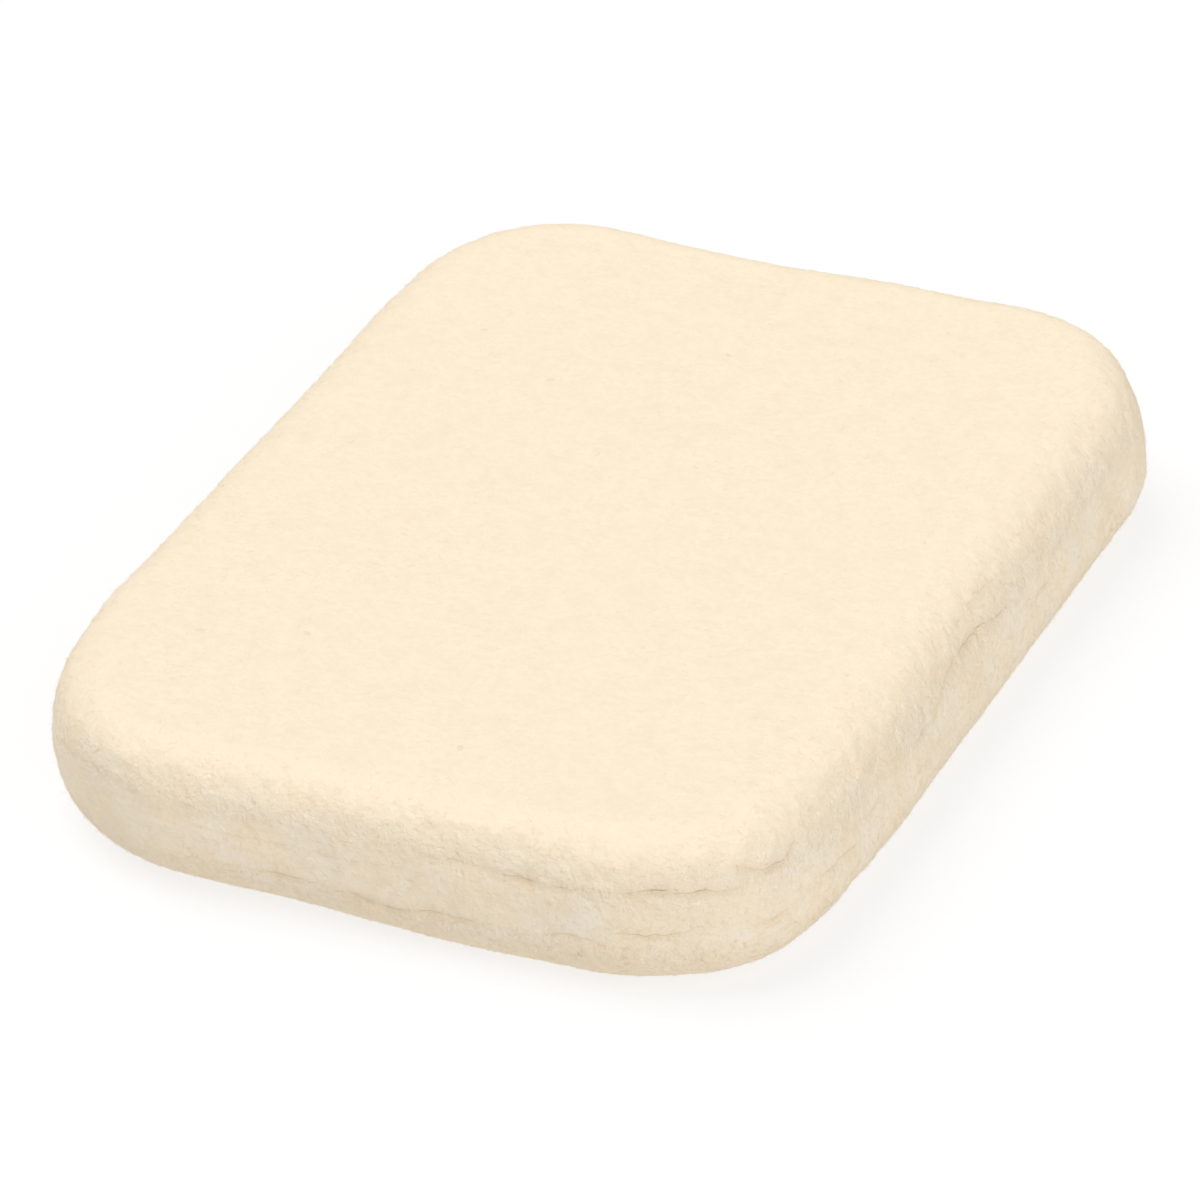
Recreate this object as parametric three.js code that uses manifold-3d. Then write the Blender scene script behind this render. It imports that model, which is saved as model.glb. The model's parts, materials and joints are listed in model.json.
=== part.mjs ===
// A needle felting mat: a thick pad of wool that takes the point of a felting needle.
// Plies of carded wool lie on each other and are needled together, with no cover, thread or glue.
// Units are millimetres, +Z is up, and the origin is in the middle of the face that the mat rests on.
// +X runs across the short side and +Y along the long side.

import * as THREE from "three";
import { mergeVertices } from "three/addons/utils/BufferGeometryUtils.js";
import Module from "manifold-3d";

// The outline seen from above
const WIDTH = 127;
const LENGTH = 178;
const CORNER_RADIUS = 31;

// The side seen in section: it bulges to its widest at the waist and rolls over to both faces
const WAIST_HEIGHT = 12;
const TOP_ROLL = 7.2;
const BOTTOM_ROLL = 7.4;

// Thickness of each ply from the rest face to the work face, with the clearance above it
const BOTTOM_FACE_THICKNESS = 3.6;
const BOTTOM_BACKING_THICKNESS = 2.4;
const LOWER_CORE_THICKNESS = 2.6;
const LOWER_MIDDLE_THICKNESS = 3.7;
const UPPER_MIDDLE_THICKNESS = 3.0;
const UPPER_CORE_THICKNESS = 2.4;
const TOP_BACKING_THICKNESS = 3.9;
const TOP_FACE_THICKNESS = 3.8;

// Radius to which both lips of a joint between two plies are rounded off
const DEEP_CREASE = 1.1;
const FACE_CREASE = 0.6;
const FAINT_CREASE = 0.4;

// The lay-up from the rest face to the work face, each ply with the crease of the joint above it
const PLIES = [
  { name: "bottom_face_ply", thickness: BOTTOM_FACE_THICKNESS, crease: FACE_CREASE, colour: 0xf6e6cb },
  { name: "bottom_backing_ply", thickness: BOTTOM_BACKING_THICKNESS, crease: FAINT_CREASE, colour: 0xefdfc5 },
  { name: "lower_core_ply", thickness: LOWER_CORE_THICKNESS, crease: DEEP_CREASE, colour: 0xeedec3 },
  { name: "lower_middle_ply", thickness: LOWER_MIDDLE_THICKNESS, crease: FAINT_CREASE, colour: 0xf0e1c8 },
  { name: "upper_middle_ply", thickness: UPPER_MIDDLE_THICKNESS, crease: FAINT_CREASE, colour: 0xefe0c7 },
  { name: "upper_core_ply", thickness: UPPER_CORE_THICKNESS, crease: DEEP_CREASE, colour: 0xf1e2c9 },
  { name: "top_backing_ply", thickness: TOP_BACKING_THICKNESS, crease: FACE_CREASE, colour: 0xf4e5cb },
  { name: "top_face_ply", thickness: TOP_FACE_THICKNESS, crease: 0, colour: 0xfbebd1 },
];
const WOOL_ROUGHNESS = 0.95;

// Needled tufts: plugs of fibre that the needles drive from each ply down into the one below it
const TUFT_ROOT_DIAMETER = 4;
const TUFT_TIP_DIAMETER = 2.4;
const TUFT_PITCH = 34;
const TUFT_MARGIN = 24;
const TUFT_FLOOR = 0.6;

// Clearance between two plies, and round each tuft
const PLY_GAP = 0.3;

// Steps of the faceted curves
const CORNER_STEPS = 8;
const WALL_STEPS = 4;
const LIP_STEPS = 2;
const TUFT_SIDES = 6;

const QUARTER_TURN = Math.PI / 2;
const THICKNESS = PLIES.reduce((sum, ply) => sum + ply.thickness, 0);

const wasm = await Module();
wasm.setup();

// How far round its bulge the side is at a height: a quarter turn back at the rest face,
// none at the waist and a quarter turn on at the work face.
function sideAngle(height) {
  const reach = height < WAIST_HEIGHT ? WAIST_HEIGHT : THICKNESS - WAIST_HEIGHT;
  return Math.asin(THREE.MathUtils.clamp((height - WAIST_HEIGHT) / reach, -1, 1));
}

function sideHeight(angle) {
  const reach = angle < 0 ? WAIST_HEIGHT : THICKNESS - WAIST_HEIGHT;
  return WAIST_HEIGHT + reach * Math.sin(angle);
}

function sideInset(height) {
  const roll = height < WAIST_HEIGHT ? BOTTOM_ROLL : TOP_ROLL;
  return roll * (1 - Math.cos(sideAngle(height)));
}

// The mat's outline, pulled in all round by an inset, as a ring of points at one height
function outlineRing({ inset, height }) {
  const centreX = WIDTH / 2 - CORNER_RADIUS;
  const centreY = LENGTH / 2 - CORNER_RADIUS;
  const radius = CORNER_RADIUS - inset;
  const signs = [[1, 1], [-1, 1], [-1, -1], [1, -1]];
  return signs.flatMap(([signX, signY], corner) =>
    Array.from({ length: CORNER_STEPS + 1 }, (_, step) => {
      const turn = QUARTER_TURN * (corner + step / CORNER_STEPS);
      const x = signX * centreX + radius * Math.cos(turn);
      const y = signY * centreY + radius * Math.sin(turn);
      return new THREE.Vector3(x, y, height);
    }),
  );
}

// The section of a ply's edge from its underside to its upper side: lip, wall, lip
function edgeSection({ underside, upperSide, lipBelow, lipAbove }) {
  const lipTurns = Array.from({ length: LIP_STEPS + 1 }, (_, step) => (QUARTER_TURN * step) / LIP_STEPS);
  const lip = (radius, edge, way) =>
    (radius > 0 ? lipTurns : [QUARTER_TURN]).map((turn) => {
      const height = edge + way * radius * (1 - Math.cos(turn));
      return { height, inset: sideInset(height) + radius * (1 - Math.sin(turn)) };
    });
  const wallStart = sideAngle(underside + lipBelow);
  const wallEnd = sideAngle(upperSide - lipAbove);
  const wall = Array.from({ length: WALL_STEPS - 1 }, (_, step) => {
    const height = sideHeight(THREE.MathUtils.lerp(wallStart, wallEnd, (step + 1) / WALL_STEPS));
    return { height, inset: sideInset(height) };
  });
  return [...lip(lipBelow, underside, 1), ...wall, ...lip(lipAbove, upperSide, -1).reverse()];
}

// A closed skin through rings of points, with a flat face on the first and the last
function loft(rings) {
  const count = rings[0].length;
  const corners = rings.flat().flatMap((point) => point.toArray());
  const faces = [];
  for (let ring = 0; ring < rings.length - 1; ring++) {
    for (let side = 0; side < count; side++) {
      const here = ring * count + side;
      const next = ring * count + ((side + 1) % count);
      faces.push(here, next, next + count, here, next + count, here + count);
    }
  }
  const cap = (ring) => {
    const outline = ring.map(({ x, y }) => new THREE.Vector2(x, y));
    return THREE.ShapeUtils.triangulateShape(outline, []);
  };
  const lastRing = (rings.length - 1) * count;
  cap(rings[0]).forEach(([a, b, c]) => faces.push(c, b, a));
  cap(rings.at(-1)).forEach(([a, b, c]) => faces.push(lastRing + a, lastRing + b, lastRing + c));
  return new THREE.BufferGeometry()
    .setAttribute("position", new THREE.Float32BufferAttribute(corners, 3))
    .setIndex(faces);
}

function solidOf(geometry) {
  const bare = new THREE.BufferGeometry()
    .setAttribute("position", geometry.getAttribute("position"))
    .setIndex(geometry.getIndex());
  const merged = mergeVertices(bare);
  return new wasm.Manifold(
    new wasm.Mesh({
      numProp: 3,
      vertProperties: merged.getAttribute("position").array,
      triVerts: new Uint32Array(merged.getIndex().array),
    }),
  );
}

function geometryOf(solid) {
  const { vertProperties, triVerts } = solid.getMesh();
  return new THREE.BufferGeometry()
    .setAttribute("position", new THREE.BufferAttribute(vertProperties, 3))
    .setIndex(new THREE.BufferAttribute(triVerts, 1));
}

// Where the tufts stand: staggered rows, as a needle board has them, clear of the mat's edge
function tuftPlaces() {
  const reachX = WIDTH / 2 - TUFT_MARGIN;
  const reachY = LENGTH / 2 - TUFT_MARGIN;
  const rowPitch = TUFT_PITCH * Math.sin(Math.PI / 3);
  const rows = Math.floor(reachY / rowPitch);
  const columns = Math.ceil(reachX / TUFT_PITCH);
  const places = [];
  for (let row = -rows; row <= rows; row++) {
    const stagger = row % 2 === 0 ? 0 : TUFT_PITCH / 2;
    for (let column = -columns; column <= columns; column++) {
      places.push({ x: column * TUFT_PITCH + stagger, y: row * rowPitch });
    }
  }
  return places.filter(({ x }) => Math.abs(x) <= reachX);
}

// A tapered plug of fibre from its root down to its tip, swollen all round by a clearance
function tuft({ x, y, root, tip, clearance }) {
  const rootRadius = TUFT_ROOT_DIAMETER / 2 + clearance;
  const tipRadius = TUFT_TIP_DIAMETER / 2 + clearance;
  const bottom = tip - clearance;
  const plug = new THREE.CylinderGeometry(rootRadius, tipRadius, root - bottom, TUFT_SIDES);
  plug.rotateX(QUARTER_TURN).translate(x, y, (root + bottom) / 2);
  return solidOf(plug);
}

// Heights of a ply's two sides, and of its middle, where its tufts are rooted
function plyHeights(index) {
  const underside = PLIES.slice(0, index).reduce((sum, ply) => sum + ply.thickness, 0);
  const gapAbove = index < PLIES.length - 1 ? PLY_GAP : 0;
  const upperSide = underside + PLIES[index].thickness - gapAbove;
  return { underside, upperSide, middle: (underside + upperSide) / 2 };
}

// The tufts that one ply drives into the ply below it, or the sockets that they make there
function tuftsFrom(index, clearance) {
  const { middle } = plyHeights(index);
  const tip = plyHeights(index - 1).underside + TUFT_FLOOR + PLY_GAP;
  return tuftPlaces().map(({ x, y }) => tuft({ x, y, root: middle, tip, clearance }));
}

// One ply as a solid, with its own tufts below it and the sockets for the tufts of the ply above it
function plySolid(index) {
  const { underside, upperSide } = plyHeights(index);
  const widestLip = (upperSide - underside) / 2;
  const lipBelow = Math.min(PLIES[index - 1]?.crease ?? 0, widestLip);
  const lipAbove = Math.min(PLIES[index].crease, widestLip);
  const section = edgeSection({ underside, upperSide, lipBelow, lipAbove });
  const tufts = index > 0 ? tuftsFrom(index, 0) : [];
  const sockets = index < PLIES.length - 1 ? tuftsFrom(index + 1, PLY_GAP) : [];
  const tufted = tufts.reduce((solid, plug) => solid.add(plug), solidOf(loft(section.map(outlineRing))));
  return sockets.reduce((solid, hole) => solid.subtract(hole), tufted);
}

const mat = new THREE.Group();
mat.name = "needle_felting_mat";
PLIES.forEach(({ name, colour }, index) => {
  const wool = new THREE.MeshStandardMaterial({ color: colour, roughness: WOOL_ROUGHNESS, metalness: 0 });
  const ply = new THREE.Mesh(geometryOf(plySolid(index)), wool);
  ply.name = name;
  mat.add(ply);
});

export default mat;
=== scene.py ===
"""The looks of a needle felting mat: eight plies of cream wool, needled into one soft slab.

Each ply is a closed mesh round its own solid in the frame. The plies share one lumpy skin, so that the
side of the mat runs on from ply to ply and only opens where a crease shows. A nap of loose wool fibres
grows out of the skin. Sizes are in metres, +Z is up and the mat rests on the floor at Z 0.
"""

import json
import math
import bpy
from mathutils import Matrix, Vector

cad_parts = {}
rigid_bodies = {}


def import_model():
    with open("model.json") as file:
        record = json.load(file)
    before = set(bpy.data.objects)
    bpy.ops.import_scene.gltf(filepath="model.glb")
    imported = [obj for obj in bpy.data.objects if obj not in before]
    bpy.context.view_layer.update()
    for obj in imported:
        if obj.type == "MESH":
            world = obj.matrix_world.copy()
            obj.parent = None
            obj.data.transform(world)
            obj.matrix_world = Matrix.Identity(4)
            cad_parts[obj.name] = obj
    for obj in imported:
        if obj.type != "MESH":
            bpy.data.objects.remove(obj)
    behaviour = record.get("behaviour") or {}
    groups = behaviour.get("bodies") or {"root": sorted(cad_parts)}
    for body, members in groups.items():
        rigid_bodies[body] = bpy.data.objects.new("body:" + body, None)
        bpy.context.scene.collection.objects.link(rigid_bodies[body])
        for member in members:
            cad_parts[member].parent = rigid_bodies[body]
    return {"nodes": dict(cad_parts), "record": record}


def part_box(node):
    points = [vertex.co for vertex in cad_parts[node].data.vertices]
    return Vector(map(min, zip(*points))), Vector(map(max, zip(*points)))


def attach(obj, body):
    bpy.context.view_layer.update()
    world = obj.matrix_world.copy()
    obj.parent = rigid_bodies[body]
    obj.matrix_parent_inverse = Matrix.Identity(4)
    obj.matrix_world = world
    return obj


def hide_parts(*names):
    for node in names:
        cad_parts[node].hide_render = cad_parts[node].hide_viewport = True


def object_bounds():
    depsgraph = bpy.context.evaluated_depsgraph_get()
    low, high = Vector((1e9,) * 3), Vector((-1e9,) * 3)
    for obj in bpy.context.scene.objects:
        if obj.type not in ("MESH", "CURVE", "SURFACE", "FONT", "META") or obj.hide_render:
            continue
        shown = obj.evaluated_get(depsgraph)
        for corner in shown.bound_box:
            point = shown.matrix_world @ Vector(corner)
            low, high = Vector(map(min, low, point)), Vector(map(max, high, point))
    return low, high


bl_info = {
    "name": "Needle Felting Mat",
    "version": (1, 0, 0),
    "blender": (4, 5, 0),
    "location": "View3D > Sidebar > Felting Mat",
    "description": "Builds the wool plies, the nap and the studio of a needle felting mat",
    "category": "Add Mesh",
}

from typing import NamedTuple

import bpy
import numpy as np
from mathutils import Matrix, Vector

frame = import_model()

MM = 0.001

# What the frame gives: the mat's box, its plies from the rest face to the work face, and their finishes
CAD_BOX = [list(corner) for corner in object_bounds()]
WIDTH, LENGTH, THICKNESS = (high - low for low, high in zip(*CAD_BOX))
PLIES = sorted(frame["nodes"], key=lambda node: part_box(node)[1].z)
PLY_TOPS = [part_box(node)[1].z for node in PLIES]
SLOTS = {row["node"]: row["material_slot"] for row in frame["record"]["subparts"]}
FACE_SLOT = "face_felt"
CORE_SLOT = "core_batt"

# The way each side faces, in the order in which the outline passes them: front, right, back, left
SIDE_TURNS = (-math.pi / 2, 0.0, math.pi / 2, math.pi)
FRONT, RIGHT, BACK, LEFT = range(4)

# How lumpy each side is, and how lumpy the roll to the rest face is beside the rest of a side
ROUGH_SIDES = (1.0, 1.0, 0.45, 0.45)
ROUGH_ANGLES = np.radians((-45, -10))
LOW_ROUGHNESS = 0.4

# Where the wool is pilled: about one angle of the top roll, and less all down the sides
PILL_ANGLE = math.radians(50)
PILL_SPREAD = math.radians(22)
WALL_PILLS = 0.25

# The swells of a face: their size in swells of the sides, how far they sink on the whole, how strong the
# small lumps are among them, and how far in from the edge they reach their full height
FACE_SWELL_SIZE = 2
FACE_SINK = 0.3
FACE_LUMPS = 0.35
FACE_MARGIN = 6 * MM

# How much of the corners' radius their rounds take off the width and the length, from corner to corner
CORNER_CUT = 0.586

# Joints between plies, numbered from the rest face up
LOWER_DEEP, MIDDLE_FAINT, UPPER_FAINT, UPPER_DEEP, UNDER_FACE = 2, 3, 4, 5, 6

# Creases that show: the joint, the place on the outline in mm, half the length in mm,
# how far the joint gapes from 0 to 1, and how far it strays up or down there in mm.
# Everywhere else on the front and the right the joints are needled shut
CREASES = (
    (UPPER_DEEP, (13.0, -89.0), 7.0, 0.2, 0.7),
    (UPPER_DEEP, (27.5, -88.6), 8.5, 0.78, 0.2),
    (UPPER_DEEP, (46.8, -84.8), 7.5, 0.8, 0.6),
    (UNDER_FACE, (57.4, -74.2), 6.0, 0.7, -2.2),
    (MIDDLE_FAINT, (63.0, -60.5), 6.0, 0.6, 0.9),
    (UPPER_FAINT, (63.4, -48.5), 4.0, 0.5, -0.5),
    (UPPER_DEEP, (63.4, -25.5), 6.0, 0.5, -0.9),
    (UPPER_DEEP, (63.4, -6.5), 12.0, 0.95, 2.4),
    (UNDER_FACE, (63.4, 2.0), 9.0, 0.4, 1.3),
    (UPPER_FAINT, (63.4, 22.0), 5.0, 0.5, -0.7),
    (UPPER_DEEP, (63.4, 30.0), 4.5, 0.5, 0.0),
    (LOWER_DEEP, (-11.0, -89.0), 8.0, 0.6, 0.3),
    (LOWER_DEEP, (-1.2, -89.0), 2.5, 0.95, 0.3),
    (LOWER_DEEP, (3.0, -89.0), 5.0, 0.6, -0.8),
    (LOWER_DEEP, (13.5, -89.0), 6.0, 0.5, 0.4),
    (LOWER_DEEP, (33.0, -88.8), 4.0, 0.6, 1.0),
    (MIDDLE_FAINT, (43.5, -86.6), 5.0, 0.6, -1.2),
    (MIDDLE_FAINT, (58.0, -75.5), 4.0, 0.5, -1.2),
    (UPPER_FAINT, (-10.0, -89.0), 14.0, 0.2, -0.8),
    (UPPER_DEEP, (-43.0, -86.5), 7.0, 0.2, 0.6),
)

# Sides where joints also gape by chance, and how much of a noise from -1 to 1 opens them
CHANCE_SIDES = (0.0, 0.0, 1.0, 1.0)
CHANCE_GAIN = 2.2
CHANCE_LOSS = 0.9

# The line of a joint has finer waves, lower and shorter than the broad ones by these factors, and ragged
# waves of this length. Along a crease the gape comes and goes in waves of its own length about a level
FINE_LOWER = 3
FINE_SHORTER = 4
RAGGED_SIZE = 1.4 * MM
GAPE_SIZE = 1.7 * MM
GAPE_LEVEL = 0.85
GAPE_WAVE = 0.65

# Where the side stands out of its plain curve: the place on the outline in mm, half the length in mm,
# how far it stands out and how far it is lifted in mm
BULGES = (
    ((-28.0, -89.0), 30.0, 1.2, 0.0),
    ((-34.0, -89.0), 11.0, 0.15, 0.1),
    ((-14.0, -89.0), 8.0, -0.35, 0.0),
    ((14.0, -89.0), 11.0, 0.5, 0.0),
    ((56.5, -78.0), 9.0, 0.95, 0.0),
    ((62.5, -60.0), 12.0, -0.7, 0.0),
    ((63.5, -33.0), 8.0, 0.3, 0.0),
    ((63.5, 5.0), 50.0, -0.4, 0.0),
    ((63.5, 48.0), 13.0, -0.35, 0.0),
    ((50.0, 83.5), 11.0, 0.45, 0.1),
    ((38.0, 88.0), 28.0, 0.35, 0.45),
    ((10.0, 89.0), 11.0, 0.45, 0.38),
    ((-28.0, 89.0), 22.0, -0.25, 0.0),
    ((-49.0, 84.0), 14.0, 0.45, 0.25),
    ((-63.5, 42.0), 13.0, 0.38, 0.0),
    ((-63.5, -5.0), 8.0, 0.3, 0.0),
    ((-62.5, -61.0), 9.0, -0.75, 0.0),
    ((-63.5, -51.0), 7.0, 0.45, 0.0),
    ((-59.0, -73.0), 8.0, -0.25, 0.0),
)

# Where the side is drawn in below: the place on the outline in mm, half the length in mm, how far in
# and how much higher it bulges in mm
TUCKS = (
    ((-30.0, -89.0), 32.0, 2.4, 3.0),
)

# Seeds of the noises. A joint adds its own number to the seeds of its waves
STRAY_SEED, FINE_SEED, CHANCE_SEED, RAGGED_SEED, GAPE_SEED = 1, 21, 41, 61, 81
SWELL_SEED, LUMP_SEED, PILL_SEED, FACE_SEED, FACE_LUMP_SEED = 71, 72, 73, 81, 82
NOISE_CELLS = 48

# Rows of a ply's mesh: the steps round a lip, the row that holds a lip's round, the most of a ply's edge
# that a lip takes, the fewest steps up the edge, and the depths of the rows inside a joint
LIP_STEPS = 4
LIP_SUPPORT = 0.02 * MM
LIP_SHARE = 0.45
LEAST_STEPS = 4
INNER_DEPTHS = (8.0 * MM, 4.0 * MM, 1.8 * MM)

# How much of the nap grows at these angles of the skin, from the rest face up to the work face
NAP_ANGLES = np.radians((-90, -55, 50, 90))
REST_FACE_NAP = 0.05
WORK_FACE_NAP = 0.15

# A fibre: the arch that it makes for a length of 1, its steps and sides, the shortest beside the longest,
# how far it thins out to its tip, the size of its curls, how far it keeps off the table, and how far
# the fibres of the core turn from the level. Those of the faces turn all round
FIBRE_ARCH = {"Start": (0.0, 0.0, -0.06), "Middle": (0.5, 0.0, 0.34), "End": (1.0, 0.0, -0.06)}
FIBRE_STEPS = 3
FIBRE_SIDES = 3
SHORTEST_FIBRE = 0.35
FIBRE_TAPER = 0.55
CURL_SIZE = 1.1 * MM
TABLE_ROOM = 0.03 * MM
CORE_SPREAD = math.radians(75)
TURN_SEED = 1
LENGTH_SEED = 2

# Flecks of plant matter in the wool of the work face: their places in mm, the flat grain that they are
# for a length of 1, and the smallest beside the largest
FLECKS = (
    (-42.7, -56.6), (-27.7, -50.7), (6.9, -71.0), (-25.5, 33.0), (-41.9, 43.6), (-2.7, 51.1), (6.4, 16.8),
)
FLECK_SHAPE = (1.0, 0.62, 0.08)
FLECK_SEGMENTS = 8
FLECK_RINGS = 6
SMALLEST_FLECK = 0.55
FLECK_SEED = 0

# Studio: where the lamps shine from, how wide each looks from the mat, and the floor
LAMPS = {"key": (-0.45, 0.0, 0.89), "front": (0.7, -0.5, 0.5), "right": (0.95, 0.0, 0.3)}
LAMP_SPAN = math.radians(60)
FLOOR_HALF = 4.0
FLOOR_GREY = (0.82, 0.82, 0.82)
FLOOR_GLOW = 0.5
WHITE = (1.0, 1.0, 1.0)
SENSOR_WIDTH = 36.0

# Spacing of the nodes in the editor
NODE_STEP = (220, -240)
UP = (0.0, 0.0, 1.0)


class Mottle(NamedTuple):
    """A noise in the wool, the two of its values between which a tone comes in, and the tone's strength."""

    size: float
    detail: float
    roughness: float
    low: float
    high: float
    strength: float
    stretch: tuple = (1.0, 1.0, 1.0)


WARM_MOTTLE = Mottle(6.5 * MM, 3.0, 0.5, 0.42, 0.72, 0.9)
COOL_MOTTLE = Mottle(9.0 * MM, 3.0, 0.5, 0.4, 0.72, 0.85)
STREAK = Mottle(1.6 * MM, 3.0, 0.6, 0.45, 0.75, 0.5, (0.4, 0.4, 1.3))
BLOTCH = Mottle(3.4 * MM, 2.0, 0.55, 0.42, 0.72, 0.28)
# Felting: partly the felted wool's own tone, partly painted shade among its pills, strongest on the roll; its
# noise also lifts the felting bump
FELTING_AND_PILL_SHADE = Mottle(1.25 * MM, 4.0, 0.6, 0.42, 0.7, 1.0)
GRAIN = Mottle(0.5 * MM, 3.0, 0.65, 0.45, 0.75, 0.3)

# How strong the felting's tone and painted pill shade are off the roll and on it, how deep its bump is on the
# faces beside the sides, the depths below a face between which its wool turns into the sides', and the
# heights off the middle of the sides between which they turn into the roll
FELTING_SHADE_SHARES = (0.38, 0.68)
FACE_FELTING = 0.55
SIDE_DEPTHS = (1.0 * MM, 7.5 * MM)
ROLL_HEIGHTS = (3.0 * MM, 7.5 * MM)
FELTING_BUMP = {"Strength": 0.9, "Distance": 0.6 * MM}
GRAIN_BUMP = {"Strength": 0.4, "Distance": 0.1 * MM}
WOOL_GLOSS = {
    "Roughness": 0.95, "Specular IOR Level": 0.15,
    "Sheen Weight": 0.1, "Sheen Roughness": 0.6, "Sheen Tint": (1.0, 0.95, 0.86),
}
FIBRE_GLOSS = {"Roughness": 0.8, "Specular IOR Level": 0.2}


# Settings

def length(name, default, description):
    """A size that a user may change, given here in mm."""
    return bpy.props.FloatProperty(
        name=name, description=description, default=default * MM, unit="LENGTH", subtype="DISTANCE",
        precision=5)


def four_sides(name, default, description):
    """A size for each side of the mat, given here in mm: front, right, back, left."""
    return bpy.props.FloatVectorProperty(
        name=name, description=description, default=[size * MM for size in default], size=4, unit="LENGTH",
        precision=5)


def turn(name, degrees, description):
    """An angle that a user may change, given here in degrees."""
    return bpy.props.FloatProperty(
        name=name, description=description, default=math.radians(degrees), unit="ROTATION", subtype="ANGLE")


def share(name, default, description, top=1.0):
    """A plain number from nought up."""
    return bpy.props.FloatProperty(name=name, description=description, default=default, min=0.0, max=top)


def colour(name, default, description):
    """A linear colour that a user may change."""
    return bpy.props.FloatVectorProperty(
        name=name, description=description, default=default, subtype="COLOR", size=3, min=0.0, max=1.0)


class MatShape(bpy.types.PropertyGroup):
    """Sizes of the slab as a whole."""

    corner_radius: length("Corner radius", 31, "Radius of the outline's corners")
    top_roll: four_sides("Top roll", (8.4, 12.2, 8.6, 8.4), "How far a side leans in above")
    bottom_roll: four_sides("Bottom roll", (8.4, 11.0, 8.4, 8.4), "How far a side leans in below")
    squareness: share("Squareness", 2.25, "Fullness of the sides: 2 for an ellipse, more for a square", 8.0)
    waist: four_sides("Waist", (12.6, 9.5, 12, 12), "Height where a side bulges furthest")
    corner_lift: length("Corner lift", 0.9, "How far the corners curl up off the table")
    bow: four_sides("Bow", (0.0, 0.0, -1.2, 1.0), "How far the middle of a side stands out")
    nap_room: length("Nap room", 0.12, "How far the skin stays inside the outline, for the nap")
    grid_step: length("Grid step", 0.55, "Spacing of the mesh's points")
    swell_height: length("Swell height", 0.3, "Height of the broad swells of the sides")
    swell_size: length("Swell size", 11, "Size of the broad swells")
    lump_height: length("Lump height", 0.14, "Height of the small lumps of the sides")
    lump_size: length("Lump size", 3.2, "Size of the small lumps")
    pill_height: length("Pill height", 0.26, "Height of the pilled wool along the top roll")
    pill_size: length("Pill size", 1.8, "Size of the pilled wool")
    face_dip: length("Face dip", 0.12, "Height of the gentle swells of the faces")


class MatJoints(bpy.types.PropertyGroup):
    """Sizes of the joints between plies, where they show on the sides."""

    shut_gap: length("Shut gap", 0.003, "Half the gap of a joint that is needled shut")
    open_gap: length("Open gap", 0.014, "Half the gap of a joint that gapes")
    shut_lip: length("Shut lip", 0.01, "Rounding of the lips of a shut joint")
    open_lip: length("Open lip", 0.2, "Rounding of the lips of a gaping joint")
    groove_depth: length("Groove depth", 0.4, "How far the skin is drawn in along a gaping joint")
    groove_width: length("Groove width", 0.9, "Half the width of that groove")
    ledge: length("Ledge", 0.3, "How far below a joint its groove is deepest")
    # Painted shade: how wide the darker tan is laid along a crease, where shade falls in the groove
    crease_shade_width: length("Crease shade width", 0.7, "Half the width of the darker wool in a crease")
    stray: length("Stray", 0.45, "How far a joint strays from its level line")
    ragged: length("Ragged", 0.3, "How ragged the line of a joint is")
    stray_size: length("Stray size", 14, "Length of the waves of a straying joint")
    stray_creases: share("Stray creases", 0.75, "How far joints gape by chance on the back and the left")


class MatNap(bpy.types.PropertyGroup):
    """Sizes of the loose fibres and the flecks in the wool."""

    fibre_length: length("Fibre length", 1.5, "Length of the longest fibres")
    fibre_width: length("Fibre width", 0.03, "Thickness of a fibre at its root")
    density: share("Density", 1.5, "Fibres on each square millimetre of the sides", 10.0)
    tan_share: share("Tan share", 0.2, "Share of the fibres that are darker")
    curl: length("Curl", 0.7, "How far the fibres curl aside")
    seed: bpy.props.IntProperty(name="Seed", description="Seed of the fibres' places", default=11)
    fleck_length: length("Fleck length", 1.7, "Length of the largest flecks of plant matter")


class MatColours(bpy.types.PropertyGroup):
    """Colours of the wool, in linear light."""

    face_wool: colour("Face wool", (0.955, 0.83, 0.64), "Fine wool of the two faces")
    core_wool: colour("Core wool", (0.95, 0.825, 0.635), "Wool of the plies between them")
    warm_wool: colour("Warm wool", (0.90, 0.755, 0.555), "Tan wool in the mottling of the sides")
    cool_wool: colour("Cool wool", (0.945, 0.865, 0.75), "Whiter wool in the mottling of the sides")
    # Painted shade: darker tan laid into the creases, where shade falls between the plies
    crease_wool: colour("Crease shade", (0.85, 0.705, 0.51), "Wool deep in a crease")
    pale_fibre: colour("Pale fibre", (0.955, 0.835, 0.65), "Most of the loose fibres")
    tan_fibre: colour("Tan fibre", (0.90, 0.765, 0.57), "The darker loose fibres")
    fleck: colour("Fleck", (0.86, 0.735, 0.55), "Flecks of plant matter in the wool")


class MatStudio(bpy.types.PropertyGroup):
    """Camera and light."""

    azimuth: turn("Azimuth", 24.297, "Turn of the camera round the mat")
    elevation: turn("Elevation", 31.174, "Height of the camera above the horizon")
    roll: turn("Roll", -0.823, "Turn of the camera about its own line of sight")
    distance: length("Distance", 1224.6, "From the camera to the middle of the mat")
    lens: bpy.props.FloatProperty(name="Lens", description="Focal length in mm", default=238.07)
    aim_right: length("Aim right", -2.225, "Aim to the right of the mat's middle")
    aim_up: length("Aim up", -2.951, "Aim above the mat's middle")
    world_light: share("World light", 0.345, "Light from all round", 4.0)
    key_light: share("Key light", 1.8, "Light from the large lamp high on the left", 20.0)
    front_light: share("Front light", 1.12, "Light from the large lamp at the front right corner", 20.0)
    right_light: share("Right light", 0.24, "Light from the large lamp low on the right", 20.0)
    table_light: share("Table light", 0.89, "Light that comes up from the white table", 4.0)
    shadow_share: share("Shadow share", 0.28, "Strength of the mat's shadow on the floor")


GROUPS = {
    "mat_shape": MatShape, "mat_joints": MatJoints, "mat_nap": MatNap,
    "mat_colours": MatColours, "mat_studio": MatStudio,
}


# Wool noise and the mat's skin

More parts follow.
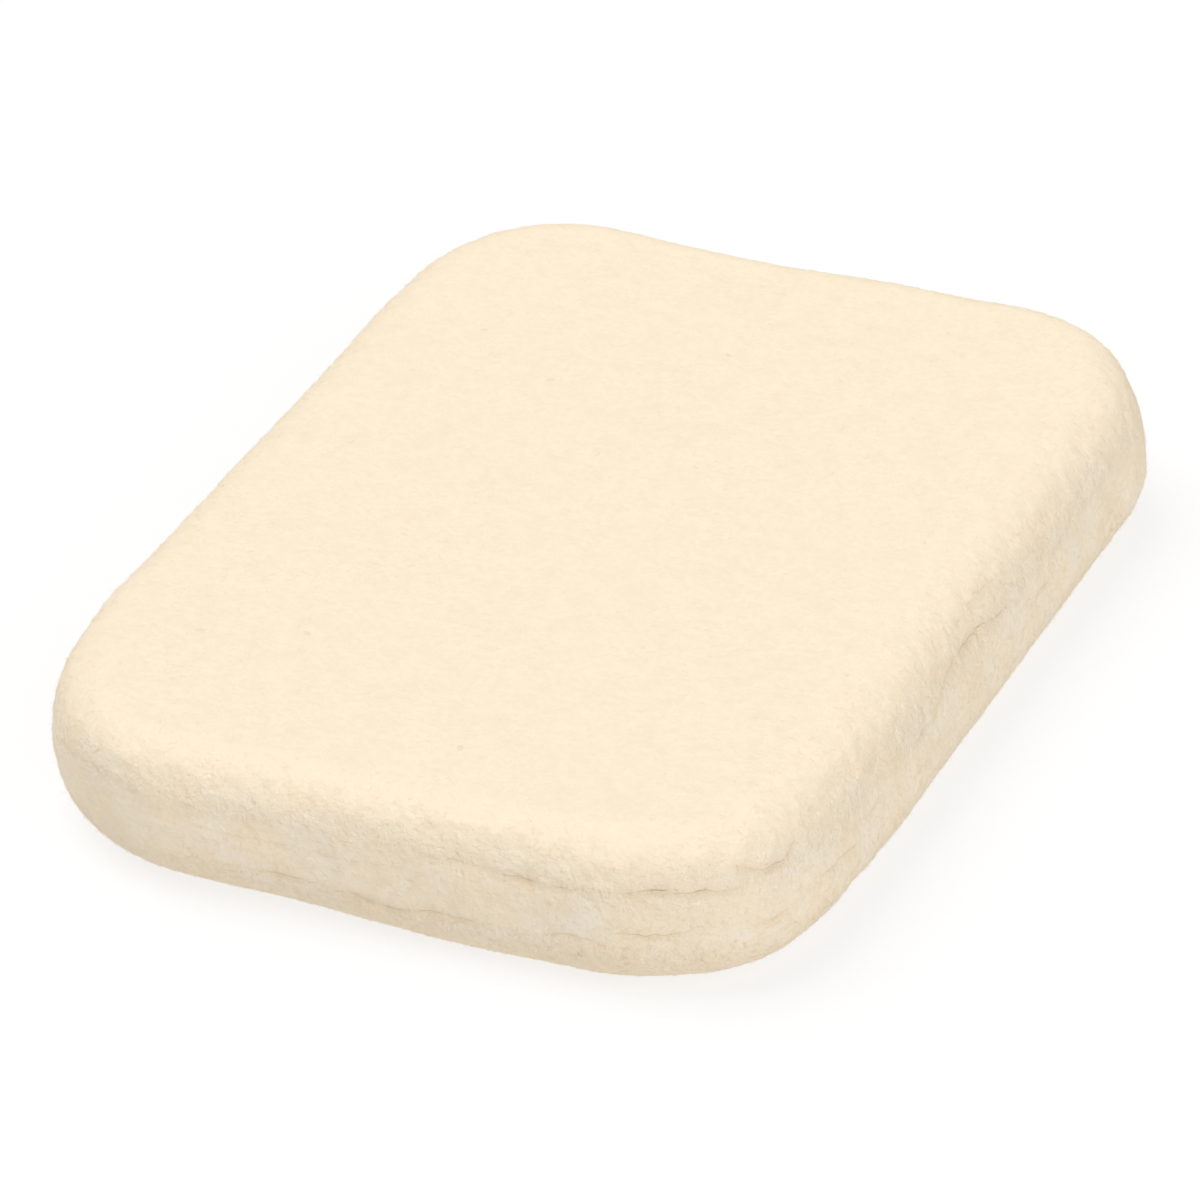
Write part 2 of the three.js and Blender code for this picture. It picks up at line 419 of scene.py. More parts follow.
def wool_noise(points, size, seed):
    """Smooth noise from -1 to 1 at points, with lumps of about one size."""
    lattice = np.random.default_rng(seed).uniform(-1.0, 1.0, (NOISE_CELLS,) * 3)
    place = points / size
    cell = np.floor(place).astype(int)
    part = place - cell
    part = part * part * (3.0 - 2.0 * part)
    total = np.zeros(points.shape[:-1])
    for corner in np.ndindex(2, 2, 2):
        weight = np.where(corner, part, 1.0 - part).prod(-1)
        x, y, z = np.moveaxis((cell + corner) % NOISE_CELLS, -1, 0)
        total += weight * lattice[x, y, z]
    return total


class Outline:
    """Points round the mat, counterclockwise from the middle of the front left corner.

    Each has an anchor and an outward direction, so that the point pulled in by an inset is
    anchor + direction * (corner radius - inset).
    """

    def __init__(self, shape):
        self.radius = shape.corner_radius
        half = (WIDTH / 2 - self.radius, LENGTH / 2 - self.radius)
        arc = self.radius * math.pi / 2
        self.counts = [round((2 * along + arc) / shape.grid_step) for along in half]
        anchors = []
        ways = []
        for side, facing in enumerate(SIDE_TURNS):
            along, out = half if side in (FRONT, BACK) else half[::-1]
            count = self.counts[side % 2]
            passed = np.linspace(0.0, 2 * along + arc, count, endpoint=False) - arc / 2
            straight = np.clip(passed, 0.0, 2 * along)
            angle = facing + (passed - straight) / self.radius
            normal = np.array((math.cos(facing), math.sin(facing)))
            tangent = np.array((-normal[1], normal[0]))
            anchors.append(normal * out + tangent * (straight - along)[:, None])
            ways.append(np.stack((np.cos(angle), np.sin(angle)), -1))
        self.anchors = np.concatenate(anchors)
        self.ways = np.concatenate(ways)
        self.count = len(self.ways)
        self.edge = self.anchors + self.ways * self.radius
        steps = np.linalg.norm(np.roll(self.edge, -1, 0) - self.edge, axis=1)
        self.passed = np.concatenate(((0.0,), np.cumsum(steps)[:-1]))
        self.whole = steps.sum()

    def by_side(self, values):
        """A size given for each side, blended round the corners."""
        facing = np.array([(math.cos(angle), math.sin(angle)) for angle in SIDE_TURNS])
        weight = np.clip(self.ways @ facing.T, 0.0, 1.0) ** 2
        return weight @ np.array(values)

    def nearness(self, place, reach):
        """A smooth bump round the outline, 1 at a place and fading over a reach, both in mm."""
        here = self.passed[np.argmin(np.linalg.norm(self.edge - np.array(place) * MM, axis=1))]
        away = np.abs(self.passed - here)
        away = np.minimum(away, self.whole - away)
        return np.exp(-np.abs(away / (reach * MM)) ** 3)

    def wave(self, size, seed):
        """Noise from -1 to 1 along the outline."""
        flat = np.concatenate((self.edge, np.full((self.count, 1), size * seed)), 1)
        return wool_noise(flat, size, seed)

    def edges(self, ring):
        """A ring of values cut into the front, right, back and left edges of a grid that fills it."""
        across, along = self.counts
        whole = np.concatenate((ring, ring[:1]))
        front = whole[: across + 1]
        right = whole[across: across + along + 1]
        back = whole[across + along: 2 * across + along + 1][::-1]
        left = whole[2 * across + along:][::-1]
        return front, right, back, left


class Skin:
    """The outer surface of the whole slab, which all the plies share."""

    def __init__(self, shape, joints):
        self.shape = shape
        self.joints = joints
        self.outline = Outline(shape)
        self.rough = self.outline.by_side(ROUGH_SIDES)
        self.top_roll = self.outline.by_side(shape.top_roll)
        self.bottom_roll = self.outline.by_side(shape.bottom_roll)
        self.waist = self.outline.by_side(shape.waist)
        for place, reach, drawn, raised in TUCKS:
            near = self.outline.nearness(place, reach)
            self.bottom_roll += drawn * MM * near
            self.waist += raised * MM * near
        self.bulge = np.full(self.outline.count, -shape.nap_room)
        for place, reach, out, _lift in BULGES:
            self.bulge += out * MM * self.outline.nearness(place, reach)
        self.heights = []
        self.gapes = []
        for joint, level in enumerate(PLY_TOPS[:-1]):
            self.add_joint(joint, level)

    def add_joint(self, joint, level):
        """A joint's height and how far it gapes, all round the outline."""
        joints, wave = self.joints, self.outline.wave
        height = level + joints.stray * wave(joints.stray_size, STRAY_SEED + joint)
        height += joints.stray / FINE_LOWER * wave(joints.stray_size / FINE_SHORTER, FINE_SEED + joint)
        height += joints.ragged * wave(RAGGED_SIZE, RAGGED_SEED + joint)
        chance = wave(joints.stray_size, CHANCE_SEED + joint) * CHANCE_GAIN - CHANCE_LOSS
        gape = joints.stray_creases * self.outline.by_side(CHANCE_SIDES) * np.clip(chance, 0.0, 1.0)
        for crease_joint, place, reach, opening, rise in CREASES:
            if crease_joint == joint:
                near = self.outline.nearness(place, reach)
                gape = np.maximum(gape, opening * near)
                height += rise * MM * near
        gape = np.clip(gape * (GAPE_LEVEL + GAPE_WAVE * wave(GAPE_SIZE, GAPE_SEED + joint)), 0.0, 1.0)
        self.heights.append(height)
        self.gapes.append(gape)

    def joint_edge(self, joint, way):
        """The edge of the ply above a joint, or below it, and how far the edge is rounded."""
        joints, gape = self.joints, self.gapes[joint]
        edge = self.heights[joint] + way * joints.shut_gap + way * (joints.open_gap - joints.shut_gap) * gape
        return edge, joints.shut_lip + (joints.open_lip - joints.shut_lip) * gape

    def angle_at(self, height):
        """How far round its bulge the side is at a height, from a quarter turn back to a quarter turn on."""
        reach = np.where(height < self.waist, self.waist, THICKNESS - self.waist)
        return np.arcsin(np.clip((height - self.waist) / reach, -1.0, 1.0))

    def height_at(self, angle):
        """The height at which the side is so far round its bulge."""
        reach = np.where(angle < 0, self.waist, THICKNESS - self.waist)
        return self.waist + reach * np.sin(angle)

    def inset_at(self, height):
        """How far the side has rolled in from the outline at a height."""
        roll = np.where(height < self.waist, self.bottom_roll, self.top_roll)
        return roll * (1.0 - self.fullness(self.angle_at(height)))

    def fullness(self, angle):
        """How much of its roll the side keeps at an angle, from 1 at the waist to 0 at a face."""
        power = self.shape.squareness
        return (1.0 - np.abs(np.sin(angle)) ** power) ** (1.0 / power)

    def ring(self, height, extra=0.0):
        """Points round the mat at a height, pulled in from the skin by an extra inset."""
        inset = self.inset_at(height) + extra
        reach = (self.outline.radius - inset + self.bulge)[:, None]
        plan = self.outline.anchors + self.outline.ways * reach
        return np.concatenate((plan, np.broadcast_to(height, inset.shape)[:, None]), 1)

    def outward(self, height):
        """Directions straight out of the skin at a height."""
        angle = self.angle_at(height)
        roll = np.where(angle < 0, self.bottom_roll, self.top_roll)
        reach = np.where(angle < 0, self.waist, THICKNESS - self.waist)
        power = self.shape.squareness - 1.0
        flat = self.fullness(angle) ** power / roll
        steep = np.sign(angle) * np.abs(np.sin(angle)) ** power / reach
        way = np.concatenate((self.outline.ways * flat[:, None], steep[:, None]), 1)
        return way / np.linalg.norm(way, axis=1)[:, None]

    def swelling(self, points, height):
        """How far the wool stands out of the plain skin at points."""
        shape = self.shape
        angle = self.angle_at(height)
        upright = np.cos(angle)
        rough = self.rough * np.interp(angle, ROUGH_ANGLES, (LOW_ROUGHNESS, 1.0))
        pilled = WALL_PILLS * upright + np.exp(-(((angle - PILL_ANGLE) / PILL_SPREAD) ** 2))
        swell = shape.swell_height * upright * wool_noise(points, shape.swell_size, SWELL_SEED)
        lump = shape.lump_height * np.sqrt(upright) * wool_noise(points, shape.lump_size, LUMP_SEED)
        pill = shape.pill_height * pilled * wool_noise(points, shape.pill_size, PILL_SEED)
        groove = self.joints.groove_depth * self.crease(height, self.joints.groove_width)
        return rough * (swell + lump + pill) - groove

    def crease(self, height, width):
        """How much of a crease there is at a height, from 0 to 1."""
        most = np.zeros(self.outline.count)
        for joint_height, gape in zip(self.heights, self.gapes):
            away = height - joint_height + self.joints.ledge
            most = np.maximum(most, gape * np.exp(-((away / width) ** 2)))
        return most

    def settle(self, points):
        """The handmade shape: corners that curl up, and sides that bow."""
        shape = self.shape
        settled = points.copy()
        across = 2 * points[:, 0] / WIDTH
        along = 2 * points[:, 1] / LENGTH
        bow = shape.bow
        settled[:, 0] += np.where(across > 0, bow[RIGHT], -bow[LEFT]) * (1 - along ** 2) * across ** 2
        settled[:, 1] += np.where(along > 0, bow[BACK], -bow[FRONT]) * (1 - across ** 2) * along ** 2
        corner = 1 - shape.corner_radius / WIDTH * CORNER_CUT
        corner *= 1 - shape.corner_radius / LENGTH * CORNER_CUT
        settled[:, 2] += shape.corner_lift * (across * along / corner) ** 2
        for place, reach, _out, lift in BULGES:
            away = np.linalg.norm(points[:, :2] - np.array(place) * MM, axis=1)
            settled[:, 2] += lift * MM * np.exp(-((away / (reach * MM)) ** 2)) * points[:, 2] / THICKNESS
        return settled

    def face(self, rim, height):
        """A grid of points that fills a face inside its rim, with the gentle swells of needled wool."""
        shape = self.shape
        across, along = self.outline.counts
        u = np.linspace(0.0, 1.0, across + 1)[:, None, None]
        v = np.linspace(0.0, 1.0, along + 1)[None, :, None]
        front, right, back, left = self.outline.edges(rim)
        sheet = (1 - v) * front[:, None] + v * back[:, None] + (1 - u) * left[None] + u * right[None]
        sheet -= (1 - u) * (1 - v) * front[0] + u * (1 - v) * front[-1]
        sheet -= u * v * back[-1] + (1 - u) * v * back[0]
        points = np.concatenate((sheet[..., :2], np.full(sheet.shape[:2] + (1,), height)), -1)
        dip = shape.face_dip * (wool_noise(points, FACE_SWELL_SIZE * shape.swell_size, FACE_SEED) - FACE_SINK)
        dip += shape.face_dip * FACE_LUMPS * wool_noise(points, shape.lump_size, FACE_LUMP_SEED)
        edge = np.minimum(np.minimum(u, 1 - u) * WIDTH, np.minimum(v, 1 - v) * LENGTH)[..., 0]
        points[..., 2] = np.maximum(sheet[..., 2] + dip * np.clip(edge / FACE_MARGIN, 0.0, 1.0), 0.0)
        return points


# Meshes of the plies

class PlyMesh:
    """Rows of points round a ply, from its underside up, closed by a face or a cap at each end."""

    def __init__(self, skin):
        self.skin = skin
        self.rows = []
        self.nap = []
        self.crease = []

    def add(self, points, nap, crease):
        """One more row, with its share of nap and of crease; the crease share is where the material paints
        shade.
        """
        self.rows.append(points)
        self.nap.append(np.full(len(points), nap))
        self.crease.append(crease)

    def wall(self, first, last, steps, ends):
        """The skin between two heights, in steps of equal angle. ends says which of the two are in it."""
        skin = self.skin
        start, stop = skin.angle_at(first), skin.angle_at(last)
        near = LIP_SUPPORT / (last - first)
        parts = [0.0 if ends[0] else near]
        parts += [step / steps for step in range(1, steps)]
        parts.append(1.0 if ends[1] else 1.0 - near)
        for part in parts:
            height = skin.height_at(start + (stop - start) * part)
            points = skin.ring(height)
            swollen = points + skin.outward(height) * skin.swelling(points, height)[:, None]
            nap = np.interp(skin.angle_at(height), NAP_ANGLES, (REST_FACE_NAP, 1.0, 1.0, WORK_FACE_NAP))
            self.add(swollen, nap, skin.crease(height, skin.joints.crease_shade_width))

    def lip(self, edge, radius, way):
        """Rows from the joint's inside out to the skin, or back, round a rounded lip."""
        skin = self.skin
        rows = []
        for step in range(LIP_STEPS + 1):
            bend = math.pi / 2 * step / LIP_STEPS
            height = edge + way * radius * (1 - math.cos(bend))
            points = skin.ring(height, radius * (1 - math.sin(bend)))
            swelling = skin.swelling(skin.ring(height), height)
            swollen = points + skin.outward(height) * swelling[:, None]
            rows.append((swollen, skin.crease(height, skin.joints.crease_shade_width)))
        for row, crease in rows if way > 0 else rows[::-1]:
            self.add(row, 1.0, crease)

    def inside(self, edge, level, radius, way):
        """Rows on the hidden side of a joint, which flatten out to a level."""
        for depth in INNER_DEPTHS if way > 0 else INNER_DEPTHS[::-1]:
            points = self.skin.ring(edge, radius + depth)
            points[:, 2] = edge + (level - edge) * (depth / INNER_DEPTHS[0])
            self.add(points, 0.0, np.ones(len(points)))

    def mesh(self, name, under_face, over_face):
        """The finished mesh. A face is a grid of points, or None for a plain cap."""
        count = self.skin.outline.count
        points = np.concatenate(self.rows)
        nap = np.concatenate(self.nap)
        crease = np.concatenate(self.crease)
        here = np.arange(count)
        after = (here + 1) % count
        faces = []
        for row in range(len(self.rows) - 1):
            low, high = row * count, (row + 1) * count
            faces.append(np.stack((low + here, low + after, high + after, high + here), 1))
        caps = []
        for grid, first, turned in ((under_face, 0, True), (over_face, len(points) - count, False)):
            ring = first + here
            if grid is None:
                caps.append((ring[::-1] if turned else ring).tolist())
                continue
            index = self.grid_index(ring, len(points))
            inner = grid[1:-1, 1:-1].reshape(-1, 3)
            points = np.concatenate((points, inner))
            nap = np.concatenate((nap, np.full(len(inner), REST_FACE_NAP if turned else WORK_FACE_NAP)))
            crease = np.concatenate((crease, np.zeros(len(inner))))
            quads = np.stack((index[:-1, :-1], index[1:, :-1], index[1:, 1:], index[:-1, 1:]), -1)
            quads = quads.reshape(-1, 4)
            faces.append(quads[:, ::-1] if turned else quads)
        mesh = bpy.data.meshes.new(name)
        mesh.from_pydata(self.skin.settle(points).tolist(), [], np.concatenate(faces).tolist() + caps)
        mesh.shade_smooth()
        # The crease attribute tells the material where to paint shade into the creases
        for attribute, values in (("nap", nap), ("crease", crease)):
            mesh.attributes.new(attribute, "FLOAT", "POINT").data.foreach_set("value", values)
        mesh.validate()
        return mesh

    def grid_index(self, ring, fresh):
        """Numbers of a face grid's points. Its border is a ring of the wall, and the others are new."""
        across, along = self.skin.outline.counts
        index = np.empty((across + 1, along + 1), int)
        index[1:-1, 1:-1] = fresh + np.arange((across - 1) * (along - 1)).reshape(across - 1, along - 1)
        index[:, 0], index[-1], index[:, -1], index[0] = self.skin.outline.edges(ring)
        return index


def ply_mesh(skin, number):
    """One ply: its wall between two joints, their lips, and its two sides."""
    shape, joints = skin.shape, skin.joints
    ply = PlyMesh(skin)
    is_bottom, is_top = number == 0, number == len(PLIES) - 1
    start = low_edge = np.zeros(skin.outline.count)
    stop = high_edge = np.full(skin.outline.count, THICKNESS)
    if not is_bottom:
        low_edge, low_lip = skin.joint_edge(number - 1, 1)
    if not is_top:
        high_edge, high_lip = skin.joint_edge(number, -1)
    room = (high_edge - low_edge) * LIP_SHARE
    if not is_bottom:
        low_lip = np.minimum(low_lip, room)
        ply.inside(low_edge, PLY_TOPS[number - 1] + joints.shut_gap, low_lip, 1)
        ply.lip(low_edge, low_lip, 1)
        start = low_edge + low_lip
    if not is_top:
        high_lip = np.minimum(high_lip, room)
        stop = high_edge - high_lip
    arc = np.abs(skin.angle_at(stop) - skin.angle_at(start)).max() * shape.waist[LEFT]
    ply.wall(start, stop, max(LEAST_STEPS, round(arc / shape.grid_step)), (is_bottom, is_top))
    if not is_top:
        ply.lip(high_edge, high_lip, -1)
        ply.inside(high_edge, PLY_TOPS[number] - joints.shut_gap, high_lip, -1)
    under_face = skin.face(ply.rows[0], 0.0) if is_bottom else None
    over_face = skin.face(ply.rows[-1], THICKNESS) if is_top else None
    return ply.mesh(PLIES[number], under_face, over_face)


def new_object(name, data):
    """An object in the scene, at the origin."""
    made = bpy.data.objects.new(name, data)
    bpy.context.scene.collection.objects.link(made)
    return made


# Nodes

def feed(tree, node, inputs):
    """Link a node's inputs, by name or number, to sockets, or give them plain values and colours."""
    for name, value in inputs.items():
        socket = node.inputs[name]
        if isinstance(value, bpy.types.NodeSocket):
            tree.links.new(value, socket)
        else:
            socket.default_value = (*value, 1.0) if socket.type == "RGBA" else value


def add_node(tree, kind, place, inputs=None, **settings):
    """A node at a place in the editor, with its settings made and its inputs fed."""
    node = tree.nodes.new(kind)
    node.location = (place[0] * NODE_STEP[0], place[1] * NODE_STEP[1])
    for name, value in settings.items():
        setattr(node, name, value)
    feed(tree, node, inputs or {})
    return node


def result(tree, kind, place, inputs=None, **settings):
    """The first output of a new node."""
    return add_node(tree, kind, place, inputs, **settings).outputs[0]


def maths(tree, place, operation, *values):
    """What an operation makes of sockets or numbers."""
    return result(tree, "ShaderNodeMath", place, dict(enumerate(values)), operation=operation)


def ranged(tree, place, value, source=(0.0, 1.0), target=(0.0, 1.0)):
    """A value carried from one range to another, and held inside it."""
    return result(tree, "ShaderNodeMapRange", place, {
        "Value": value, "From Min": source[0], "From Max": source[1],
        "To Min": target[0], "To Max": target[1]})


def mixed(tree, place, factor, first, second):
    """Two colours mixed by a factor. Each may be a socket or a colour."""
    mix = add_node(tree, "ShaderNodeMix", place, {0: factor, 6: first, 7: second}, data_type="RGBA")
    return mix.outputs[2]


def noise_node(tree, place, coords, mottle):
    """The noise of a mottle, on the piece's own coordinates."""
    drawn = result(tree, "ShaderNodeMapping", place, {"Vector": coords, "Scale": mottle.stretch})
    noise = add_node(tree, "ShaderNodeTexNoise", (place[0] + 1, place[1]), {
        "Vector": drawn, "Scale": 1.0 / mottle.size, "Detail": mottle.detail, "Roughness": mottle.roughness})
    return noise.outputs["Fac"]


# Materials of the mat

def new_material(name):
    """A node material, its tree and its shader."""
    material = bpy.data.materials.new(name)
    material.use_nodes = True
    return material, material.node_tree, material.node_tree.nodes["Principled BSDF"]


def wool_material(name, base, colours):
    """Needled wool: cream, mottled with tan and whiter wool down the sides, with felted tone and painted pill
    shade, most on the roll, and painted shade in the creases.
    """
    material, tree, shader = new_material(name)
    coords = add_node(tree, "ShaderNodeTexCoord", (-10, 0)).outputs["Object"]
    side, roll = side_share(tree, (-10, 6), coords)
    # Painted shade among the pills, with the felted tone, stronger on the roll
    felted_shade = ranged(tree, (-5, 6), roll, target=FELTING_SHADE_SHARES)
    warm, cool = colours.warm_wool, colours.cool_wool
    layers = (
        (WARM_MOTTLE, side, warm), (COOL_MOTTLE, side, cool), (STREAK, side, warm),
        (BLOTCH, None, warm), (FELTING_AND_PILL_SHADE, felted_shade, warm), (GRAIN, None, warm))
    tone = base
    noises = {}
    for row, (mottle, where, wool) in enumerate(layers):
        noises[mottle] = noise_node(tree, (-8, row), coords, mottle)
        part = ranged(tree, (-6, row), noises[mottle], (mottle.low, mottle.high), (0.0, mottle.strength))
        if where is not None:
            part = maths(tree, (-5, row), "MULTIPLY", part, where)
        tone = mixed(tree, (row - 4, row), part, tone, wool)
    # Painted shade: the crease attribute mixes darker tan into the creases
    crease = add_node(tree, "ShaderNodeAttribute", (1, 6), attribute_name="crease").outputs["Fac"]
    depth = maths(tree, (-5, 8), "ADD", ranged(tree, (-6, 8), side, target=(FACE_FELTING, 1.0)), roll)
    raised = maths(tree, (-4, 8), "MULTIPLY", noises[FELTING_AND_PILL_SHADE], depth)
    coarse = result(tree, "ShaderNodeBump", (-3, 8), {**FELTING_BUMP, "Height": raised})
    fine = result(tree, "ShaderNodeBump", (-2, 8), {**GRAIN_BUMP, "Height": noises[GRAIN], "Normal": coarse})
    crease_shaded = mixed(tree, (2, 6), crease, tone, colours.crease_wool)
    feed(tree, shader, {"Base Color": crease_shaded, "Normal": fine, **WOOL_GLOSS})
    return material


def side_share(tree, place, coords):
    """Two sockets: one is 0 on the faces and 1 down the sides, the other is 1 only where the sides roll."""
    column, row = place
    height = add_node(tree, "ShaderNodeSeparateXYZ", place, {0: coords}).outputs["Z"]
    middle = maths(tree, (column + 1, row), "SUBTRACT", height, THICKNESS / 2)
    away = maths(tree, (column + 2, row), "ABSOLUTE", middle)
    side = ranged(tree, (column + 3, row), away, [THICKNESS / 2 - depth for depth in SIDE_DEPTHS])
    over = ranged(tree, (column + 3, row + 1), away, ROLL_HEIGHTS)
    return side, maths(tree, (column + 4, row + 1), "MULTIPLY", side, over)


def fibre_material(name, base):
    """A loose wool fibre or a fleck, too thin for a pattern of its own."""
    material, tree, shader = new_material(name)
    feed(tree, shader, {"Base Color": base, **FIBRE_GLOSS})
    return material


# Geometry nodes for the nap and the flecks

class GrowthTree:
    """A node tree that grows something on a mesh, with named inputs for its sizes and materials."""

    def __init__(self, name, kinds):
        self.tree = bpy.data.node_groups.new(name, "GeometryNodeTree")
        interface = self.tree.interface
        self.sockets = {
            socket: interface.new_socket(socket, in_out="INPUT", socket_type="NodeSocket" + kind).identifier
            for socket, kind in {"Geometry": "Geometry", **kinds}.items()}
        interface.new_socket("Geometry", in_out="OUTPUT", socket_type="NodeSocketGeometry")
        self.given = self.node("NodeGroupInput", (0, 0)).outputs

    def node(self, *details, **settings):
        return add_node(self.tree, *details, **settings)

    def result(self, *details, **settings):
        return result(self.tree, *details, **settings)

    def maths(self, place, operation, *values):
        return maths(self.tree, place, operation, *values)

    def vector(self, place, operation, first, second):
        return self.result("ShaderNodeVectorMath", place, {0: first, 1: second}, operation=operation)

    def random(self, place, low, high, seed):
        """A number by chance for each point."""
        inputs = {2: low, 3: high, "Seed": seed}
        return self.node("FunctionNodeRandomValue", place, inputs, data_type="FLOAT").outputs[1]

    def grow(self, name, base, values):
        """A plain mesh of what the tree grows on an object."""
        modifier = base.modifiers.new("Growth", "NODES")
        modifier.node_group = self.tree
        for socket, value in values.items():
            modifier[self.sockets[socket]] = value
        depsgraph = bpy.context.evaluated_depsgraph_get()
        mesh = bpy.data.meshes.new_from_object(base.evaluated_get(depsgraph), depsgraph=depsgraph)
        base.modifiers.remove(modifier)
        mesh.name = name
        return new_object(name, mesh)


class NapTree(GrowthTree):
    """The node tree that grows loose fibres on a skin, where its nap attribute lets it."""

    def __init__(self):
        super().__init__("Wool nap", {
            "Density": "Float", "Length": "Float", "Width": "Float", "Spread": "Float", "Curl": "Float",
            "Tan share": "Float", "Seed": "Int", "Pale": "Material", "Tan": "Material"})
        points, rotation = self.rooted_points()
        fibres = self.curled(self.laid_fibres(points, rotation))
        self.node("NodeGroupOutput", (14, 0), {0: self.in_two_tones(self.tubes(fibres))})

    def nap(self, place):
        """How much nap the skin lets grow."""
        nap = self.node("GeometryNodeInputNamedAttribute", place, {"Name": "nap"}, data_type="FLOAT")
        return nap.outputs["Attribute"]

    def rooted_points(self):
        """Points on the skin, each turned to face out of it and then round by chance."""
        scatter = self.node("GeometryNodeDistributePointsOnFaces", (2, 0), {
            "Mesh": self.given["Geometry"],
            "Density": self.maths((1, 1), "MULTIPLY", self.given["Density"], self.nap((0, 2))),
            "Seed": self.given["Seed"]})
        normal = scatter.outputs["Normal"]
        level = self.vector((3, 1), "CROSS_PRODUCT", UP, normal)
        facing = self.result("FunctionNodeAxesToRotation", (4, 1), {
            "Primary Axis": normal, "Secondary Axis": level}, primary_axis="Z", secondary_axis="X")
        spread = self.given["Spread"]
        back = self.maths((3, 3), "MULTIPLY", spread, -1.0)
        about = self.result("FunctionNodeAxisAngleToRotation", (4, 2), {
            "Axis": UP, "Angle": self.random((3, 2), back, spread, TURN_SEED)})
        rotation = self.result("FunctionNodeRotateRotation", (5, 1), {
            "Rotation": facing, "Rotate By": about}, rotation_space="LOCAL")
        return scatter.outputs["Points"], rotation

    def laid_fibres(self, points, rotation):
        """A low arch of fibre on each point, of a length by chance."""
        arch = self.result("GeometryNodeCurveQuadraticBezier", (5, 3), {
            "Resolution": FIBRE_STEPS, **FIBRE_ARCH})
        chance = self.random((4, 4), SHORTEST_FIBRE, 1.0, LENGTH_SEED)
        size = self.maths((5, 4), "MULTIPLY", self.given["Length"], chance)
        rise = self.maths((5, 5), "MULTIPLY", size, self.nap((4, 5)))
        spans = self.result("ShaderNodeCombineXYZ", (6, 4), {0: size, 1: size, 2: rise})
        stand = self.result("GeometryNodeInstanceOnPoints", (6, 0), {
            "Points": points, "Instance": arch, "Rotation": rotation, "Scale": spans})
        return self.result("GeometryNodeRealizeInstances", (7, 0), {"Geometry": stand})

    def curled(self, fibres):
        """The fibres, curled aside more and more to their tips, and none below the table."""
        noise = self.node("ShaderNodeTexNoise", (7, 2), {"Scale": 1.0 / CURL_SIZE, "Detail": 1.0})
        aside = self.vector((8, 2), "SUBTRACT", noise.outputs["Color"], (0.5, 0.5, 0.5))
        along = self.node("GeometryNodeSplineParameter", (7, 3)).outputs["Factor"]
        reach = self.maths((8, 3), "MULTIPLY", along, self.given["Curl"])
        offset = self.result("ShaderNodeVectorMath", (9, 2), {0: aside, "Scale": reach}, operation="SCALE")
        curled = self.result("GeometryNodeSetPosition", (9, 0), {"Geometry": fibres, "Offset": offset})
        place = self.result("GeometryNodeInputPosition", (9, 3))
        lifted = self.vector((10, 3), "MAXIMUM", place, (-1.0, -1.0, TABLE_ROOM))
        return self.result("GeometryNodeSetPosition", (10, 0), {"Geometry": curled, "Position": lifted})

    def tubes(self, fibres):
        """Fibres as closed three-sided tubes that thin out to the tip."""
        along = self.node("GeometryNodeSplineParameter", (10, 2)).outputs["Factor"]
        taper = self.maths((11, 3), "MULTIPLY_ADD", along, -FIBRE_TAPER, 1.0)
        half = self.maths((10, 4), "MULTIPLY", self.given["Width"], 0.5)
        curve = self.result("GeometryNodeSetCurveRadius", (11, 0), {"Curve": fibres, "Radius": taper})
        section = self.result("GeometryNodeCurvePrimitiveCircle", (11, 2), {
            "Resolution": FIBRE_SIDES, "Radius": half})
        return self.result("GeometryNodeCurveToMesh", (12, 0), {
            "Curve": curve, "Profile Curve": section, "Fill Caps": True})

    def in_two_tones(self, tubes):
        """Most fibres pale, and a share of them tan."""
        island = self.node("GeometryNodeInputMeshIsland", (11, 5)).outputs["Island Index"]
        chance = self.node("FunctionNodeRandomValue", (12, 4), {
            "Probability": self.given["Tan share"], "ID": island}, data_type="BOOLEAN").outputs[3]
        pale = self.result("GeometryNodeSetMaterial", (13, 0), {
            "Geometry": tubes, "Material": self.given["Pale"]})
        return self.result("GeometryNodeSetMaterial", (14, 1), {
            "Geometry": pale, "Selection": chance, "Material": self.given["Tan"]})


class FleckTree(GrowthTree):
    """The node tree that lays a flat grain of plant matter on every point, turned by chance."""

    def __init__(self):
        super().__init__("Plant flecks", {"Length": "Float", "Plant": "Material"})
        ball = self.result("GeometryNodeMeshUVSphere", (0, 1), {
            "Segments": FLECK_SEGMENTS, "Rings": FLECK_RINGS, "Radius": 0.5})
        grain = self.result("GeometryNodeTransform", (1, 1), {"Geometry": ball, "Scale": FLECK_SHAPE})
        about = self.result(
            "FunctionNodeRandomValue", (0, 2), {1: (0.0, 0.0, 2 * math.pi)}, data_type="FLOAT_VECTOR")
        chance = self.random((0, 3), SMALLEST_FLECK, 1.0, FLECK_SEED)
        stand = self.result("GeometryNodeInstanceOnPoints", (2, 0), {
            "Points": self.given["Geometry"], "Instance": grain, "Rotation": about,
            "Scale": self.maths((1, 2), "MULTIPLY", self.given["Length"], chance)})
        real = self.result("GeometryNodeRealizeInstances", (3, 0), {"Geometry": stand})
        dressed = self.result("GeometryNodeSetMaterial", (4, 0), {
            "Geometry": real, "Material": self.given["Plant"]})
        self.node("NodeGroupOutput", (5, 0), {0: dressed})


# Studio

def floor_mesh(half):
    """A square of floor under the mat."""
    corners = [(-half, -half, 0), (half, -half, 0), (half, half, 0), (-half, half, 0)]
    mesh = bpy.data.meshes.new("floor")
    mesh.from_pydata(corners, [], [(0, 1, 2, 3)])
    return mesh


def seen_directly(tree, place):
    """A socket that is 1 for what the camera sees, straight or through gloss or glass."""
    column, row = place
    path = add_node(tree, "ShaderNodeLightPath", place).outputs
    gloss = maths(tree, (column + 1, row), "MAXIMUM", path["Is Camera Ray"], path["Is Glossy Ray"])
    return maths(tree, (column + 2, row), "MAXIMUM", gloss, path["Is Transmission Ray"])


